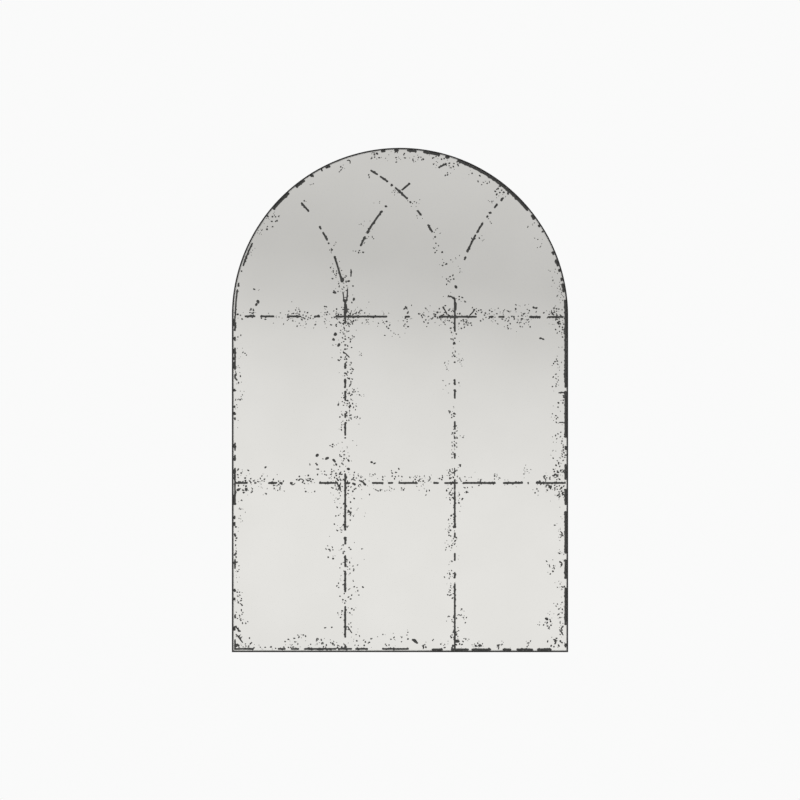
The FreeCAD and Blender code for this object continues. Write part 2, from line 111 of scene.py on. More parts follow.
# Where the wear along the left edge reaches the frame.
LEFT_EDGE_LUMPS = [
    (-749, -738), (-677, -670), (-657, -649), (-590, -584), (-500, -490), (-484, -475), (-450, -426),
    (-376, -364), (-345, -337), (-314, -304), (-236, -228), (-219, -213), (-180, -173), (-126, -109),
    (-105, -98), (-90, -78), (-57, -50), (-24, -6),
]
RIGHT_EDGE_DASHES = [
    (-789, -779), (-736, -646), (-626, -579), (-566, -464), (-450, -411), (-390, -352), (-333, -329),
    (-319, -309), (-290, -178), (-171, 2),
]
FOOT_LEFT_DASHES = [
    (-395, -348), (-291, -272), (-260, -240), (-229, -151), (-148, -114), (-107, -76), (-43, 21),
]
FOOT_RIGHT_DASHES = [(75, 102), (121, 164), (170, 217), (244, 265), (277, 317), (326, 361)]
# Degrees round the arch, from the right springing.
ARCH_EDGE_DASHES = [
    (-1.4, 5.7), (8.2, 11.4), (12.2, 13.4), (15.4, 16.5), (17.4, 20), (21.6, 23), (30.3, 30.9), (32.4, 33.4),
    (35.6, 37.6), (39.4, 69.8), (72.6, 74.2), (76, 82), (84.2, 87.6), (90.4, 92), (95, 96.6), (114.9, 116.7),
    (117.9, 118.5), (121.5, 122.7), (125, 129), (132, 140), (142.7, 143.3),
]
ARCH_LEFT_DASHES = [(153.6, 162.4), (163.9, 164.5), (168.3, 169.8), (170.6, 180)]
# Heights along each tracery arc, which springs from an upright and is struck from the springline.
TRACERY = [
    (-UPRIGHT_X, 1, [(166, 190), (196, 251), (259, 263), (299, 316)]),
    (UPRIGHT_X, -1, [(41, 46), (122, 126), (150, 154), (186, 190), (199, 218), (239, 252),
                     (269, 273), (278, 306), (310, 314), (319, 333), (336, 347)]),
    (-UPRIGHT_X, -1, [(80, 143), (155, 159), (171, 175), (179, 200), (206, 214), (248, 270)]),
    (UPRIGHT_X, 1, [(133, 142), (151, 194), (197, 222), (234, 239), (243, 248), (257, 267),
                    (274, 282), (290, 295)]),
]

# Clusters of specks: x, height, reach across, reach up and how many.
FINE_SPECKS = [
    (-209, 314, 5, 4, 3), (-335, 202, 4, 7, 8), (-351, 155, 5, 16, 7), (-161, 161, 10, 16, 8),
    (-151, 109, 11, 18, 10), (-74, 203, 15, 19, 10), (-49, 270, 6, 4, 3), (-15, 296, 6, 5, 8),
    (218, 271, 5, 4, 5), (31, 268, 12, 10, 8), (45, 238, 8, 7, 6), (89, 202, 8, 13, 7), (144, 139, 8, 3, 4),
    (144, 108, 6, 6, 5), (207, 221, 13, 9, 7), (312, 217, 10, 12, 5), (333, 175, 10, 18, 7),
    (366, 110, 9, 32, 13), (386, 46, 5, 12, 12), (381, 72, 5, 9, 13), (-71, 187, 8, 8, 6),
    (-291, -6, 10, 17, 9), (-66, -12, 12, 9, 5), (-10, -42, 10, 12, 7), (-145, -70, 12, 14, 8),
    (-97, -88, 4, 5, 5), (-128, -308, 14, 8, 6), (-374, -187, 6, 10, 6), (-380, -468, 6, 12, 7),
    (145, -104, 4, 9, 7), (112, -120, 6, 9, 8), (108, -150, 8, 16, 6), (147, -287, 5, 5, 5),
    (-26, -411, 9, 10, 9), (302, -369, 9, 11, 12), (117, -534, 14, 44, 12), (-97, -460, 12, 14, 4),
    (248, 8, 10, 9, 7), (133, -750, 12, 12, 8), (-286, -408, 10, 7, 6), (-133, -333, 9, 10, 7),
    (-57, -411, 9, 6, 5),
]
COMMON_SPECKS = [
    (-141, 351, 9, 7, 7), (-5, 380, 20, 12, 20), (-61, 382, 10, 10, 7), (-225, 275, 3, 2, 4),
    (-302, 241, 6, 6, 8), (-73, 330, 6, 6, 3), (268, 298, 6, 6, 4), (-157, 12, 7, 7, 4),
    (-133, 73, 13, 18, 23), (-156, 103, 8, 12, 8), (-96, 154, 8, 6, 7), (45, 377, 18, 12, 12),
    (88, 374, 9, 8, 11), (121, 359, 13, 9, 13), (112, 337, 5, 3, 5), (100, 358, 7, 5, 5),
    (168, 341, 5, 5, 4), (198, 331, 10, 15, 8), (87, 163, 6, 12, 6), (101, 122, 4, 7, 4),
    (122, 132, 3, 3, 3), (117, 84, 9, 14, 10), (144, 38, 8, 8, 8), (187, 182, 14, 5, 8),
    (-324, -8, 10, 8, 4), (-352, 12, 10, 6, 7), (-250, -3, 20, 14, 24), (-247, 9, 14, 8, 12),
    (-219, -10, 19, 13, 20), (-177, 5, 9, 7, 8), (-128, -7, 26, 17, 60), (-129, -15, 9, 9, 10),
    (-131, 0, 36, 28, 34), (-100, 10, 8, 8, 8), (-80, -12, 5, 9, 4), (-38, 9, 5, 3, 4),
    (-35, -24, 8, 12, 12), (15, 0, 9, 17, 20), (63, -2, 8, 12, 16), (82, 4, 9, 9, 10), (112, 2, 18, 16, 44),
    (136, -14, 18, 12, 20), (200, -11, 15, 7, 3), (154, -14, 6, 7, 12), (180, 12, 6, 10, 6),
    (212, 3, 20, 14, 23), (234, -6, 18, 9, 9), (268, -8, 14, 12, 8), (269, 3, 15, 26, 22),
    (294, -12, 16, 10, 15), (302, 0, 12, 15, 14), (371, 4, 15, 15, 34), (383, -28, 8, 20, 22),
    (-110, -50, 4, 3, 4), (-126, -42, 12, 12, 14), (-129, -44, 6, 8, 5), (-119, -141, 5, 16, 10),
    (-125, -72, 10, 14, 8), (-122, -122, 10, 16, 10), (-127, -129, 6, 8, 5), (-113, -180, 12, 16, 24),
    (-94, -189, 7, 3, 4), (-102, -243, 6, 7, 5), (-115, -211, 9, 8, 9), (-131, -196, 9, 22, 14),
    (-128, -222, 8, 11, 8), (-140, -253, 7, 19, 9), (-159, -308, 8, 5, 6), (-131, -334, 9, 13, 14),
    (-384, -50, 5, 5, 5), (-373, -89, 5, 4, 4), (-390, -210, 7, 8, 6), (128, -48, 7, 12, 12),
    (129, -90, 5, 10, 5), (124, -233, 6, 10, 12), (130, -270, 5, 9, 12), (130, -304, 5, 15, 16),
    (129, -328, 6, 8, 9), (137, -356, 5, 5, 4), (124, -370, 9, 8, 5), (374, -112, 9, 19, 9),
    (374, -157, 9, 15, 10), (375, -234, 12, 17, 12), (376, -283, 9, 14, 8), (378, -342, 10, 14, 14),
    (364, -320, 3, 3, 2), (386, -328, 4, 8, 5), (385, -302, 4, 8, 5), (-332, -391, 11, 10, 16),
    (-294, -401, 18, 12, 25), (-222, -390, 15, 8, 16), (-208, -419, 13, 6, 5), (-358, -412, 8, 7, 5),
    (157, -412, 7, 6, 4), (-43, -386, 7, 5, 3), (-190, -366, 17, 17, 13), (-152, -378, 13, 16, 34),
    (-132, -410, 22, 20, 53), (-108, -380, 8, 8, 10), (-90, -396, 10, 11, 10), (-67, -377, 10, 5, 6),
    (-11, -377, 11, 11, 12), (-51, -414, 6, 2, 3), (5, -412, 3, 4, 3), (48, -388, 15, 8, 26),
    (60, -411, 14, 13, 9), (96, -386, 7, 3, 6), (133, -388, 20, 18, 27), (122, -420, 7, 12, 22),
    (156, -422, 2, 2, 2), (180, -398, 18, 9, 12), (157, -386, 8, 6, 5), (229, -380, 5, 6, 8),
    (323, -413, 8, 6, 5), (350, -395, 12, 14, 20), (378, -411, 10, 12, 28), (385, -413, 6, 8, 7),
    (378, -428, 6, 5, 6), (-133, -460, 19, 20, 22), (-138, -502, 9, 10, 18), (-158, -552, 15, 9, 11),
    (-124, -594, 20, 14, 22), (-130, -557, 7, 7, 5), (-128, -614, 7, 7, 5), (-143, -639, 7, 12, 6),
    (-112, -650, 14, 6, 8), (-127, -674, 16, 15, 13), (-117, -702, 8, 7, 9), (-144, -709, 6, 9, 6),
    (-119, -744, 10, 23, 14), (124, -507, 9, 8, 5), (121, -534, 11, 40, 22), (129, -528, 6, 9, 6),
    (115, -616, 11, 10, 11), (119, -657, 7, 14, 14), (148, -699, 4, 3, 5), (153, -721, 7, 10, 9),
    (130, -724, 9, 26, 24), (130, -762, 8, 13, 9), (150, -778, 8, 8, 9), (131, -785, 6, 5, 5),
    (-384, -604, 6, 18, 6), (-383, -668, 10, 13, 12), (-382, -709, 12, 22, 23), (-356, -783, 12, 8, 10),
    (-322, -790, 22, 4, 10), (-266, -789, 26, 6, 16), (-260, -768, 15, 10, 8), (-231, -762, 7, 6, 6),
    (-196, -780, 22, 10, 13), (-163, -781, 15, 7, 9), (-161, -743, 11, 7, 3), (-83, -777, 26, 10, 14),
    (-19, -775, 19, 15, 16), (18, -761, 4, 9, 5), (79, -771, 2, 4, 4), (104, -784, 6, 4, 7),
    (59, -788, 4, 6, 8), (234, -787, 5, 6, 5), (243, -779, 3, 4, 3), (304, -782, 5, 7, 7),
    (361, -600, 11, 12, 13), (380, -638, 8, 9, 8), (380, -518, 7, 10, 10), (379, -564, 7, 7, 6),
    (377, -690, 7, 8, 7), (359, -706, 5, 6, 4), (354, -733, 8, 8, 16), (329, -735, 2, 5, 4),
    (383, -748, 5, 9, 5),
]
COARSE_SPECKS = [
    (-310, 231, 11, 13, 12), (-157, 62, 4, 7, 3), (239, 298, 11, 15, 13), (121, 47, 7, 3, 5),
    (-383, 0, 7, 8, 7), (-354, 12, 7, 5, 3), (-140, -103, 6, 5, 6), (-147, -208, 5, 3, 3),
    (-120, -241, 9, 10, 11), (-386, -146, 6, 18, 7), (-391, -548, 2, 28, 9), (140, -167, 2, 3, 3),
    (387, -201, 5, 6, 6), (390, -315, 4, 10, 7), (-371, -396, 17, 20, 38), (121, -372, 6, 6, 6),
    (142, -441, 4, 10, 8), (376, -374, 13, 16, 22), (-161, -573, 6, 4, 4), (-120, -554, 3, 5, 4),
    (-139, -786, 10, 9, 12), (122, -473, 4, 3, 5), (135, -778, 7, 7, 9), (-386, -752, 7, 18, 2),
    (-385, -786, 7, 5, 18), (185, -785, 8, 5, 20), (387, -590, 5, 7, 6), (385, -709, 6, 11, 12),
    (374, -779, 13, 8, 16), (-341, 62, 5, 4, 3),
]
# Thin dust along the edges and lines.
DUST = [
    (-385, -110, 5, 45, 9), (-385, -230, 5, 45, 8), (-384, -480, 6, 40, 8), (-383, -630, 7, 50, 8),
    (380, -90, 7, 45, 8), (380, -240, 7, 50, 8), (381, -510, 6, 40, 7), (378, -650, 7, 50, 8),
    (130, -110, 12, 40, 9), (130, -560, 12, 50, 10), (-131, -560, 14, 50, 8), (128, -690, 12, 40, 7),
    (-255, 0, 45, 11, 8), (30, 0, 40, 11, 7), (255, 1, 40, 12, 9), (-60, -405, 40, 10, 8),
    (40, -404, 40, 10, 8), (260, -402, 45, 10, 8), (-210, -776, 70, 9, 7), (150, -775, 90, 8, 6),
]
# Single larger spots: x, height and size.
SPOTS = [
    (-338, 34, 7), (-342, 27, 6), (-154, -43, 7), (-158, -56, 6), (-146, -69, 7), (-197, -331, 7),
    (-174, -339, 7), (-157, -344, 7), (-152, -353, 5), (-67, -348, 5), (-61, -351, 5), (-320, -360, 5),
    (-123, -364, 7), (334, -53, 5), (340, -55, 5), (349, -721, 7), (318, 20, 5), (324, 19, 5), (377, -17, 6),
    (-110, 40, 6), (-156, 56, 7), (133, 69, 7), (-136, 87, 7), (-122, 83, 5), (-384, -413, 7),
    (-366, -413, 7), (357, -407, 6), (137, -774, 8), (-122, -344, 5), (10, 17, 4), (18, 7, 4), (45, 5, 4),
    (51, 1, 4), (57, -14, 3.5), (84, -1, 4), (129, -64, 5), (384, -409, 5), (375, -427, 4), (-55, 387, 5),
    (126, -785, 5), (180, -785, 5), (190, -784, 6), (124, -790, 5),
]
# Curled marks: start, bend, end and width, each an x and a height.
CURLS = [
    ((91, 353), (101, 358), (112, 363), 4.4), ((-134, 34), (-134, 46), (-136, 58), 3.2),
    ((-128, 34), (-125, 46), (-125, 66), 3.6), ((-131, 30), (-131, 36), (-131, 40), 6.4),
    ((-127, 44), (-131, 45), (-134, 44), 2.2), ((-117, 112), (-116, 102), (-117, 93), 3.2),
    ((118, 47), (124, 47), (128, 40), 4), ((131, 34), (133, 24), (131, 12), 6.6),
    ((101, 22), (108, 14), (112, 3), 3.4), ((165, 1), (175, 9), (178, 17), 3.4),
    ((130, -361), (130, -370), (130, -381), 2.6), ((-114, -398), (-109, -400), (-105, -401), 5),
    ((-98, -391), (-90, -394), (-80, -402), 3.6), ((-127, 370), (-116, 374), (-119, 362), 3),
    ((-136, -85), (-128, -89), (-120, -99), 2.6), ((-118, -154), (-114, -163), (-122, -169), 2.4),
    ((-392, -130), (-389, -137), (-392, -146), 2.2), ((-262, -398), (-255, -406), (-249, -397), 2.6),
    ((-243, -392), (-236, -383), (-228, -393), 2.6), ((-225, -387), (-217, -399), (-212, -386), 2.6),
    ((-154, -392), (-146, -404), (-141, -416), 3.2), ((-141, -396), (-143, -406), (-149, -416), 2.6),
    ((-125, -738), (-120, -747), (-114, -755), 3), ((-125, -463), (-112, -465), (-119, -477), 2.4),
    ((66, -394), (76, -388), (69, -381), 2.6), ((389, -737), (377, -748), (389, -760), 3),
    ((380, -584), (391, -590), (382, -597), 3), ((28, -770), (36, -772), (42, -780), 5.4),
    ((377, -183), (386, -181), (395, -184), 3.4), ((230, -784), (234, -782), (239, -783), 3),
    ((234, -783), (236, -789), (234, -794), 3), ((364, -770), (376, -772), (368, -782), 3),
    ((378, -254), (384, -252), (392, -255), 3), ((52, -784), (57, -788), (55, -793), 2.6),
    ((381, -512), (389, -518), (383, -526), 2.8), ((-129, 8), (-129, 18), (-130, 30), 8),
    ((341, -380), (344, -386), (348, -391), 3), ((-392, -737), (-388, -745), (-379, -751), 3.4),
    ((-391, -757), (-384, -764), (-374, -778), 3.4), ((352, -402), (362, -405), (358, -413), 3),
]
# Rings with a gap: x, height, radius of the middle of the mark and where the gap is in degrees.
RINGS = [
    (-64, 387, 4.5, 250), (-150, 4, 4, 20), (364, 11, 5, 100), (-122, -470, 4.5, 200), (119, -373, 5, 330),
    (157, -12, 4, 150), (121, -422, 5, 60), (386, -369, 4.5, 180), (-96, -404, 4, 300), (-380, -763, 5, 40),
    (383, -747, 4.5, 120), (369, -381, 5.4, 200),
]


def towards(angle):
    """The unit vector at an angle in radians, counter-clockwise from +x."""
    return Vector((math.cos(angle), math.sin(angle)))


def circle_loop(radius, sides, start=0):
    """Points evenly round a circle, counter-clockwise from the start angle."""
    return [towards(start + 2 * math.pi * side / sides) * radius for side in range(sides)]


def pairs(loop):
    """Each item of a closed loop with the one that follows it."""
    return zip(loop, loop[1:] + loop[:1])


# Lines that the wear follows: each turns a place along the line into a point and the way across.


def level_line(height, slope=0):
    return lambda x: (Vector((x, height + slope * x)), Vector((0, 1)))


def plumb_line(x):
    return lambda height: (Vector((x, height)), Vector((1, 0)))


def circle_line(radius, centre=(0, 0)):
    def place(degrees):
        outward = towards(math.radians(degrees))
        return Vector(centre) + outward * radius, outward
    return place


def tracery_line(foot_x, lean):
    """An arc from the springline at foot_x that leans to the right as it rises, or with -1 to the left."""
    centre = foot_x + lean * TRACERY_RADIUS

    def place(height):
        angle = math.asin(height / TRACERY_RADIUS)
        outward = Vector((-lean * math.cos(angle), math.sin(angle)))
        return Vector((centre, 0)) + outward * TRACERY_RADIUS, outward
    return place


def curl_line(start, bend, end):
    def place(share):
        rest = 1 - share
        point = start * rest * rest + bend * 2 * rest * share + end * share * share
        heading = (bend - start) * rest + (end - bend) * share
        return point, Vector((-heading.y, heading.x)).normalized()
    return place


# Outlines of the worn marks
STRIP_STEP = 2.6
STRIP_LEAST_STEPS = 3
STRIP_SHARES = (0.84, 1.1)
END_SHARES = (0.45, 0.95)
BUMP_CHANCE = 0.17
BUMP_REACH = (0.8, 2.6)


def worn_strip(place, start, end, width, draw):
    """Outline of a worn dash along a line: uneven edges, a bump here and there, and ragged ends."""
    length = (place(end)[0] - place(start)[0]).length
    steps = max(STRIP_LEAST_STEPS, round(length / STRIP_STEP))
    near_side = []
    far_side = []
    for step in range(steps + 1):
        point, normal = place(start + (end - start) * step / steps)
        for side, sign in ((near_side, -1), (far_side, 1)):
            half = width / 2 * draw.uniform(*STRIP_SHARES)
            if step in (0, steps):
                half *= draw.uniform(*END_SHARES)
            elif draw.random() < BUMP_CHANCE:
                half += draw.uniform(*BUMP_REACH)
            side.append(point + normal * sign * half)
    return near_side + far_side[::-1]


def dashes(rows, draw):
    """Outlines of the worn dashes of rows, each a line, the spans along it and their width."""
    return [worn_strip(place, start, end, width, draw)
            for place, spans, width in rows for start, end in spans]


SPECK_CORNERS = 7
TINY_SPECK = 2
TINY_CORNERS = 5
SPECK_STRETCH = (1, 1.35)
SPECK_REACH = (0.78, 1.24)


def speck(x, height, size, draw):
    """Outline of one speck: a small lopsided patch."""
    corners = TINY_CORNERS if size < TINY_SPECK else SPECK_CORNERS
    lean = draw.uniform(0, math.pi)
    stretch = draw.uniform(*SPECK_STRETCH)
    points = []
    for corner in range(corners):
        angle = 2 * math.pi * corner / corners
        reach = size / 2 * draw.uniform(*SPECK_REACH)
        along = reach * math.cos(angle) * stretch
        across = reach * math.sin(angle) / stretch
        points.append(Vector((
            x + along * math.cos(lean) - across * math.sin(lean),
            height + along * math.sin(lean) + across * math.cos(lean),
        )))
    return points


def kept_in(point, margin):
    """The point, brought back where it lies less than the margin inside the pane's edge."""
    reach = GLASS_HALF - margin
    if point.y > 0:
        return point * min(1, reach / point.length)
    return Vector((max(-reach, min(reach, point.x)), max(GLASS_FOOT + margin, point.y)))


FLAT_MARGIN = 0.8
FINE_SIZES = (2.0, 3.3)
COMMON_SIZES = (3.0, 4.8)
COARSE_SIZES = (3.5, 5.8)
CLUSTER_SPREAD = 0.62
SPECK_TRIES = 6
SPECK_APART = 0.6
SPECK_ROOM = 0.7
CHAIN_CHANCE = 0.22
CHAIN_STEP = 0.42
DUST_SHARE = 0.36
DUST_SIZES = (1.8, 2.4)
DUST_SPREAD = 0.9


def speck_cluster(cluster, sizes):
    """Outlines of one cluster's specks, thickest at its middle, some in chains, with fine dust round them.

    Each cluster draws from its own seed, so that a change to one leaves the others as they are.
    """
    x, height, reach_across, reach_up, count = cluster
    draw = random.Random(f"{x} {height}")
    placed = []
    for _ in range(count):
        dusty = draw.random() < DUST_SHARE
        size = draw.uniform(*(DUST_SIZES if dusty else sizes))
        spread = DUST_SPREAD if dusty else CLUSTER_SPREAD
        chained = placed and not dusty and draw.random() < CHAIN_CHANCE
        for _ in range(SPECK_TRIES):
            if chained:
                last, last_size = placed[-1]
                step = CHAIN_STEP * (size + last_size)
                spot = last + towards(draw.uniform(0, 2 * math.pi)) * step
                crowded = False
            else:
                spot = Vector((draw.gauss(x, spread * reach_across), draw.gauss(height, spread * reach_up)))
                crowded = any((spot - other).length < SPECK_APART * (size + other_size)
                              for other, other_size in placed)
            if not crowded and kept_in(spot, FLAT_MARGIN + SPECK_ROOM * size) == spot:
                placed.append((spot, size))
                break
    return [speck(spot.x, spot.y, size, draw) for spot, size in placed]


# Meshes and pieces


def new_mesh(name, vertices, faces):
    mesh = bpy.data.meshes.new(name)
    mesh.from_pydata(vertices, [], faces)
    return mesh


def swept_mesh(name, solids, closed=False):
    """A mesh of solids, each given by rings of points along its sweep, which closes or has flat ends.

    Each ring runs counter-clockwise as seen from further along the sweep.
    """
    vertices = []
    faces = []
    for rings in solids:
        loops = []
        for ring in rings:
            loops.append(list(range(len(vertices), len(vertices) + len(ring))))
            vertices += ring
        for here, ahead in pairs(loops) if closed else zip(loops, loops[1:]):
            for (start, end), (next_start, next_end) in zip(pairs(here), pairs(ahead)):
                faces.append((start, end, next_end, next_start))
        if not closed:
            faces += [loops[0][::-1], loops[-1]]
    return new_mesh(name, vertices, faces)


def add_object(name, data):
    shown = bpy.data.objects.new(name, data)
    bpy.context.scene.collection.objects.link(shown)
    return shown


def add_piece(mesh, material, node=None, body="mirror", smooth_angle=None):
    """Show a mesh that rides on a body, takes its finish from a slot and may stand for a CAD node."""
    if smooth_angle:
        mesh.shade_smooth()
        mesh.set_sharp_from_angle(angle=math.radians(smooth_angle))
    mesh.materials.append(material)
    piece = add_object(mesh.name, mesh)
    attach(piece, body)
    if node:
        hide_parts(node)


# Material helpers
SHADER = "Principled BSDF"


def fill(node, inputs):
    """Link each input of a node to a socket, or set it."""
    for name, value in inputs.items():
        if isinstance(value, bpy.types.NodeSocket):
            node.id_data.links.new(value, node.inputs[name])
        else:
            node.inputs[name].default_value = value


def add_node(tree, kind, inputs=None, **settings):
    """Add a shader node and give its outputs."""
    node = tree.nodes.new("ShaderNode" + kind)
    for setting, value in settings.items():
        setattr(node, setting, value)
    fill(node, inputs or {})
    return node.outputs


def new_material(name):
    """A material, and the coordinates of its object in metres."""
    material = bpy.data.materials.new(name)
    material.use_nodes = True
    return material, add_node(material.node_tree, "TexCoord")["Object"]


# The next helpers add their node to the tree of the socket that they are given.


def stretched(place, scale):
    return add_node(place.id_data, "Mapping", {"Vector": place, "Scale": scale})["Vector"]


def noise(place, scale, detail=4, grit=0.55):
    """Noise from 0 to 1, of about that many features to a metre."""
    inputs = {"Vector": place, "Scale": scale, "Detail": detail, "Roughness": grit}
    return add_node(place.id_data, "TexNoise", inputs)["Fac"]


def colours(field, tones):
    """Colour by the field's value: tones are a colour for each of some values, in rising order."""
    colour = add_node(field.id_data, "ValToRGB", {"Fac": field})["Color"]
    stops = colour.node.color_ramp.elements
    while len(stops) < len(tones):
        stops.new(0)
    for stop, (value, tone) in zip(stops, tones.items()):
        stop.position = value
        stop.color = (*tone, 1)
    return colour


def levels(field, low, high, from_low=0.3, from_high=0.7, curve="LINEAR"):
    """The field spread between two numbers."""
    inputs = {"Value": field, "From Min": from_low, "From Max": from_high, "To Min": low, "To Max": high}
    return add_node(field.id_data, "MapRange", inputs, interpolation_type=curve)["Result"]


def relief(field, depth):
    """Fine bumps of the field, of that depth in metres."""
    return add_node(field.id_data, "Bump", {"Height": field, "Distance": depth})["Normal"]


def combined(operation, *values):
    return add_node(values[0].id_data, "Math", dict(enumerate(values)), operation=operation)[0]


# Places of the colour sockets on a Mix node, whose names repeat
MIX_FIRST = 6
MIX_SECOND = 7
MIX_RESULT = 2


def blend_colours(share, first, second, mode="MIX"):
    inputs = {"Factor": share, MIX_FIRST: first, MIX_SECOND: second}
    return add_node(first.id_data, "Mix", inputs, data_type="RGBA", blend_type=mode)[MIX_RESULT]


def blend_shaders(share, first, second):
    return add_node(first.id_data, "MixShader", {0: share, 1: first, 2: second})[0]


def dress(material, colour, roughness, **others):
    """The material, with the inputs of its shader linked or set."""
    inputs = {"Base Color": colour, "Roughness": roughness}
    inputs |= {name.replace("_", " "): value for name, value in others.items()}
    fill(material.node_tree.nodes[SHADER], inputs)
    return material


def grained_material(name, scale, tones, rough, bump=None, detail=4, grit=0.55, **others):
    """A material whose colour, roughness and relief follow one noise."""
    material, place = new_material(name)
    grain = noise(place, scale, detail, grit)
    if bump:
        others["Normal"] = relief(grain, bump)
    return dress(material, colours(grain, tones), levels(grain, *rough), **others)


# Materials


def silver_material():
    """Silvering behind glass: a mirror whose tone drifts a little and which is faintly clouded."""
    tones = {0.3: (0.885, 0.883, 0.872), 0.7: (0.915, 0.913, 0.905)}
    return grained_material("aged_silvering", 5, tones, rough=(0.03, 0.05), detail=3, Metallic=1.0)


def worn_material():
    """Where the silver has gone: the dark of its backing, behind the glass's own gloss."""
    tones = {0.3: (0.019, 0.019, 0.018), 0.55: (0.03, 0.03, 0.029), 0.75: (0.05, 0.049, 0.046)}
    return grained_material("worn_silvering", 160, tones, rough=(0.12, 0.3), detail=5, grit=0.7)


EDGE_LAYER = "edge_wear"


def steel_material():
    """Satin black paint on steel, rubbed to bare metal here and there along the edges."""
    material, place = new_material("painted_steel")
    drift = noise(place, 14)
    paint = colours(drift, {0.3: (0.008, 0.0078, 0.0075), 0.7: (0.014, 0.0136, 0.0128)})
    brushed = noise(place, 420, detail=3)
    rubbed = colours(brushed, {0.3: (0.02, 0.019, 0.018), 0.7: (0.048, 0.045, 0.042)})
    edge = add_node(place.id_data, "Attribute", attribute_name=EDGE_LAYER)["Fac"]
    wear = levels(noise(place, 60, detail=6, grit=0.65), 0, 0.8, 0.56, 0.72)
    colour = blend_colours(combined("MULTIPLY", edge, wear), paint, rubbed)
    orange_peel = noise(place, 900, detail=3)
    return dress(material, colour, levels(drift, 0.38, 0.52), Normal=relief(orange_peel, 0.08 * MM),
                 Specular_IOR_Level=0.3)


def weld_material():
    """Weld metal under the same paint, duller and more uneven than the rolled steel."""
    tones = {0.3: (0.011, 0.011, 0.01), 0.7: (0.027, 0.026, 0.024)}
    return grained_material("painted_weld", 520, tones, rough=(0.4, 0.62), bump=0.1 * MM,
                            detail=5, grit=0.65)


def seal_material():
    """Pale grey sealant, smoothed by hand, a little dirtier here and there."""
    material, place = new_material("grey_sealant")
    ripple = noise(place, 260, detail=3)
    clean = colours(ripple, {0.3: (0.57, 0.57, 0.555), 0.7: (0.67, 0.67, 0.655)})
    dirty = colours(ripple, {0.3: (0.3, 0.3, 0.29), 0.7: (0.4, 0.4, 0.385)})
    dirt = levels(noise(place, 38), 0, 0.7, 0.55, 0.7)
    colour = blend_colours(dirt, clean, dirty)
    return dress(material, colour, levels(ripple, 0.42, 0.6), Normal=relief(ripple, 0.2 * MM))


def board_material():
    """Bare fibreboard: fine pressed fibres, darker flecks and a slow drift of tone."""
    material, place = new_material("pressed_fibreboard")
    fibres = noise(stretched(place, (1, 1, 0.55)), 1500, detail=5, grit=0.65)
    base = colours(fibres, {
        0.28: (0.31, 0.213, 0.128), 0.5: (0.4, 0.285, 0.18), 0.72: (0.48, 0.355, 0.237)})
    shade = colours(noise(place, 3.5, detail=3), {0.3: (0.9, 0.89, 0.88), 0.7: (1, 1, 1)})
    shaded = blend_colours(1.0, base, shade, "MULTIPLY")
    flecks = levels(noise(place, 240, detail=2), 0, 0.55, 0.68, 0.76)
    fleck_tone = colours(fibres, {0.3: (0.16, 0.1, 0.055), 0.7: (0.24, 0.16, 0.09)})
    colour = blend_colours(flecks, shaded, fleck_tone)
    return dress(material, colour, levels(fibres, 0.72, 0.9), Normal=relief(fibres, 0.1 * MM),
                 Specular_IOR_Level=0.25)


def foam_material():
    """White foam with small open cells."""
    material, place = new_material("white_foam")
    cells = add_node(place.id_data, "TexVoronoi", {"Vector": place, "Scale": 1400})["Distance"]
    tone = colours(cells, {0: (0.62, 0.62, 0.59), 0.6: (0.82, 0.82, 0.8)})
    return dress(material, tone, levels(cells, 0.8, 0.95, 0, 0.6), Normal=relief(cells, 0.3 * MM),
                 Specular_IOR_Level=0.2)


def black_screw_material():
    """Black oxide with a faint bloom."""
    tones = {0.3: (0.022, 0.022, 0.024), 0.7: (0.055, 0.054, 0.054)}
    return grained_material("black_oxide", 700, tones, rough=(0.34, 0.5), bump=0.05 * MM, Metallic=0.6)


def rubber_material():
    """Black rubber with a little dust on it."""
    tones = {0.35: (0.026, 0.026, 0.026), 0.75: (0.046, 0.045, 0.044)}
    return grained_material("bumper_rubber_finish", 1300, tones, rough=(0.6, 0.78), bump=0.03 * MM,
                            grit=0.6, Specular_IOR_Level=0.35)


def zinc_material(name, dark, pale, rough, stretch=(1, 1, 1)):
    """Zinc plating: pale, with the drawing or rolling marks of the metal below."""
    material, place = new_material(name)
    marks = noise(stretched(place, stretch), 500)
    plating = colours(noise(place, 90, detail=3), {0.3: dark, 0.7: pale})
    return dress(material, plating, levels(marks, *rough), Normal=relief(marks, 0.04 * MM), Metallic=1.0)


# Frame rails, in millimetres along the section
ANGLE_LEG = (RAIL_REAR - RAIL_FRONT) / MM
ANGLE_WALL = HALF_WIDTH / MM - FRAME_INSIDE
TOE_RADIUS = 0.5
FACE_RADIUS = 0.2
ROOT_RADIUS = 1.8
EDGE_BAND = 0.5
CORNER_STEPS = 3
ARCH_STEPS = 160


